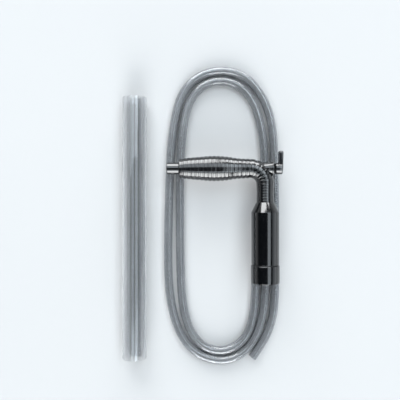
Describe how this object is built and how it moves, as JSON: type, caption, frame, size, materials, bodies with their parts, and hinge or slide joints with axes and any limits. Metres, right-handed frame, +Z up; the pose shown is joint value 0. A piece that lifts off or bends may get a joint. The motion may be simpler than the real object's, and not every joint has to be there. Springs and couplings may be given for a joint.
{
  "type": "gravel vacuum siphon",
  "caption": "Aquarium gravel siphon: clear rigid gravel tube, pistol-shaped handpiece with ribbed grip, flow lever, check valve and gravel guard, and a loose coil of hose.",
  "frame": {"origin": "on the surface that it lies on, at the middle of the box round the gravel tube and the handpiece", "axes": "+Z up from the surface, +Y along the gravel tube towards the grip's side, +X from the gravel tube to the handpiece"},
  "size_m": [0.1778, 0.3386, 0.0413],
  "materials": {
    "clear_tube": "clear gloss",
    "hose_vinyl": "satin translucent",
    "black_plastic": "gloss",
    "ribbed_black": "gloss",
    "lever_black": "satin",
    "seal_rubber": "matt",
    "valve_plastic": "satin",
    "guard_plastic": "satin",
    "ball_plastic": "satin",
    "screw_steel": "satin"
  },
  "bodies": {
    "root": {"siphon_hose": "hose_vinyl", "grip_handle": "ribbed_black", "hose_spigot": "black_plastic", "spigot_seal": "seal_rubber", "neck_seal": "seal_rubber", "chamber_body": "black_plastic", "valve_seat": "valve_plastic", "seat_washer": "seal_rubber", "ball_cage": "valve_plastic", "collar_seal": "seal_rubber", "regulator_bonnet": "black_plastic", "bonnet_seal": "seal_rubber", "stop_pin": "black_plastic"},
    "regulator": {"regulator_plug": "valve_plastic", "plug_seal": "seal_rubber", "stem_seal": "seal_rubber", "regulator_lever": "lever_black", "lever_screw": "screw_steel"},
    "check_ball": {"valve_ball": "ball_plastic"},
    "guard_collar": {"tube_collar": "black_plastic", "gravel_guard": "guard_plastic"},
    "loose_tube": {"gravel_tube": "clear_tube"}
  },
  "joints": [
    {"name": "regulator_turn", "type": "hinge", "parent": "root", "child": "regulator", "pos_m": [0.0728, 0.0655, 0.02555], "axis": [1, 0, 0], "range_deg": [0, 90]},
    {"name": "ball_lift", "type": "slide", "parent": "root", "child": "check_ball", "axis": [0, 1, 0], "range_m": [0, 0.005]},
    {"name": "collar_pull", "type": "slide", "parent": "root", "child": "guard_collar", "axis": [0, -1, 0], "range_m": [0, 0.02]},
    {"name": "tube_lift", "type": "slide", "parent": "root", "child": "loose_tube", "axis": [0, 0, 1], "range_m": [0, 0.15]}
  ]
}
